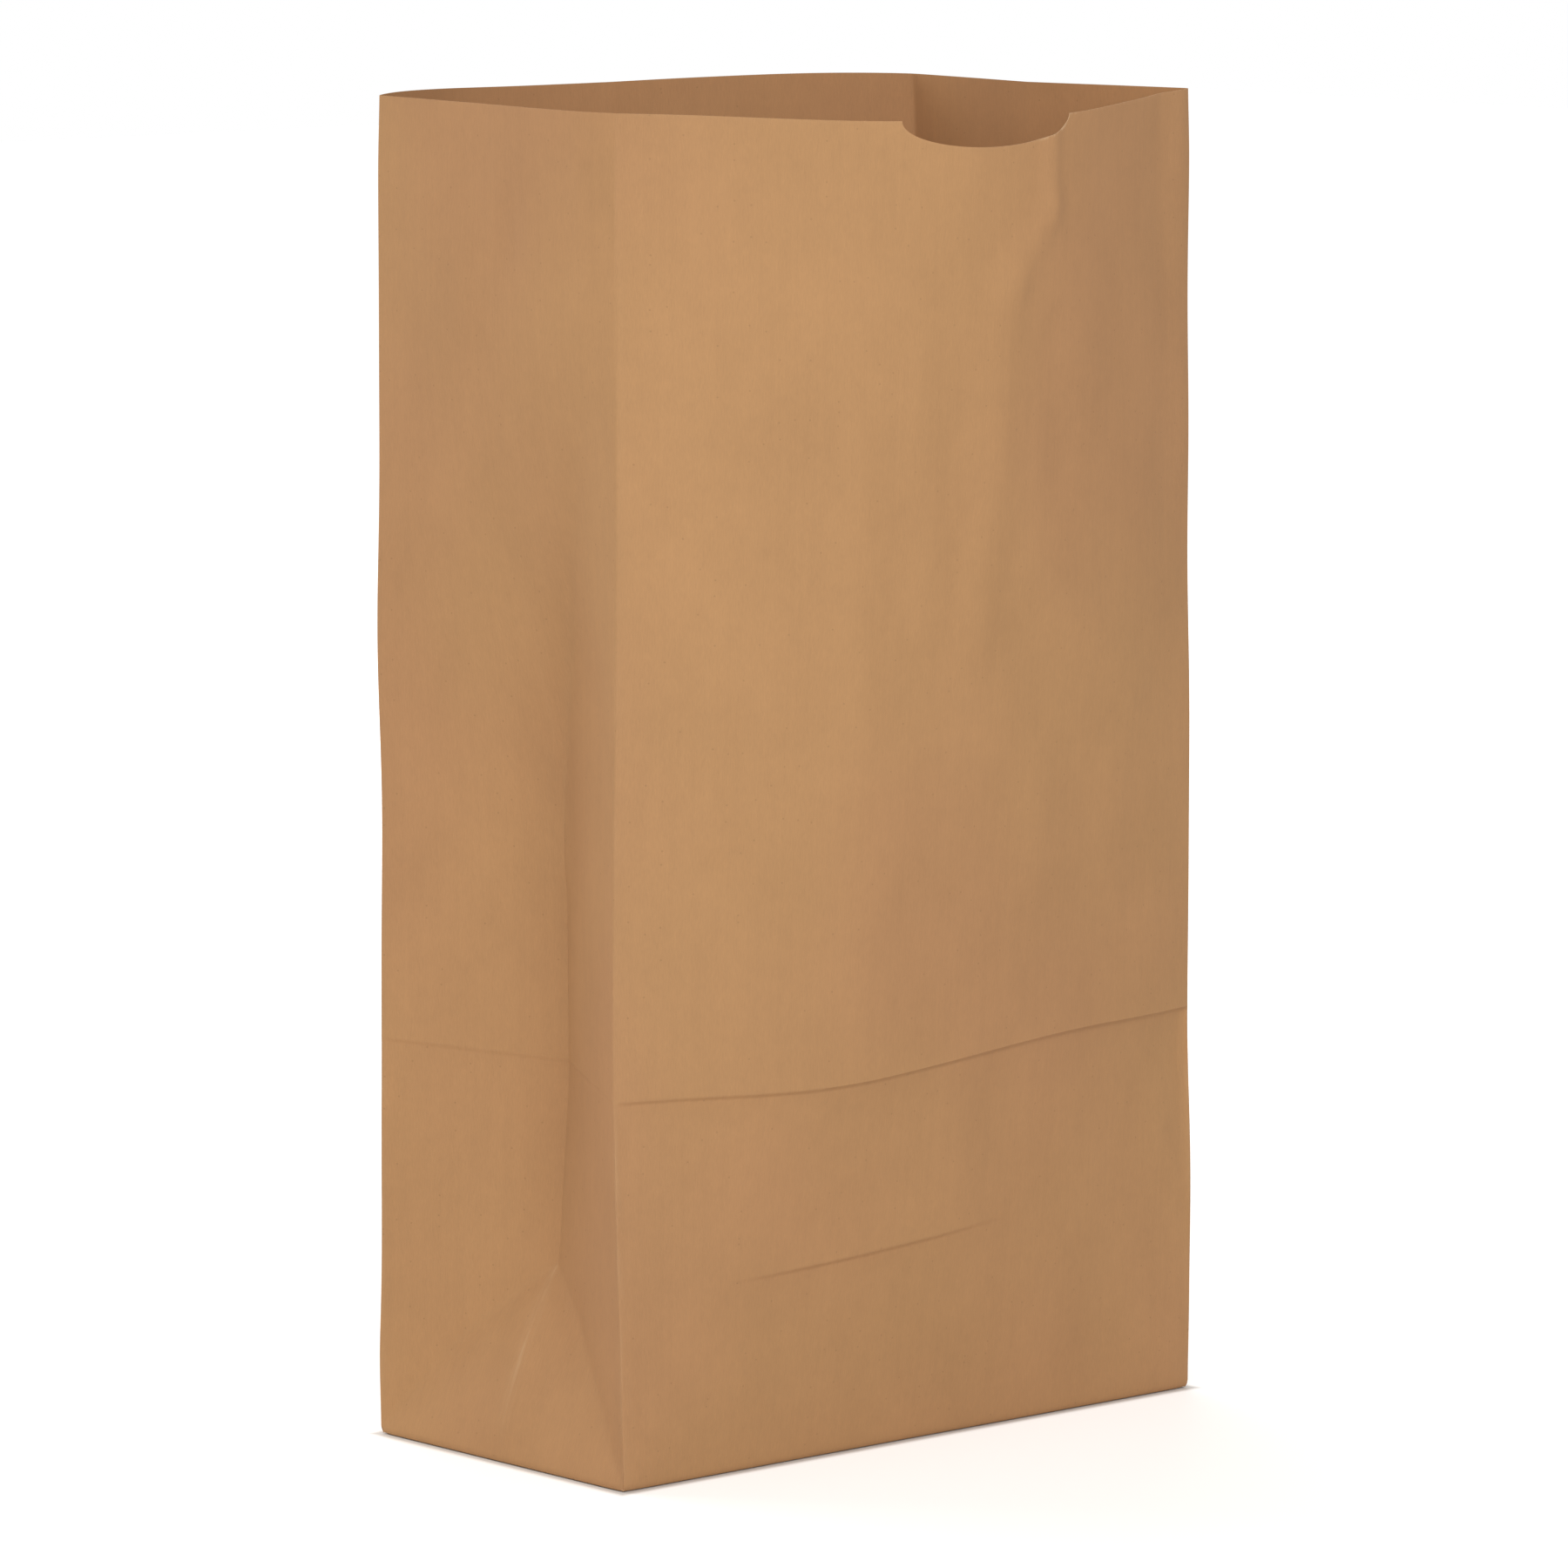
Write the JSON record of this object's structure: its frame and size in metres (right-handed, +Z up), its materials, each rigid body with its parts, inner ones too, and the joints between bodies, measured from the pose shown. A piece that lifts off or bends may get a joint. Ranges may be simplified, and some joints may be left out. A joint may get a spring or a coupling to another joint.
{
  "type": "paper grocery bag",
  "caption": "Open-topped brown kraft paper grocery bag with gusseted sides, a folded and glued block bottom and a thumb notch in the front of the mouth.",
  "frame": {"origin": "the middle of the base's underside, on the surface that the bag stands on", "axes": "+Z up towards the mouth, X along the width of the front and back panels, -Y out of the front panel with the thumb notch"},
  "size_m": [0.2512, 0.2103, 0.4326],
  "materials": {
    "kraft_paper": "matte"
  },
  "bodies": {
    "root": {"paper_bag": "kraft_paper"}
  },
  "joints": []
}
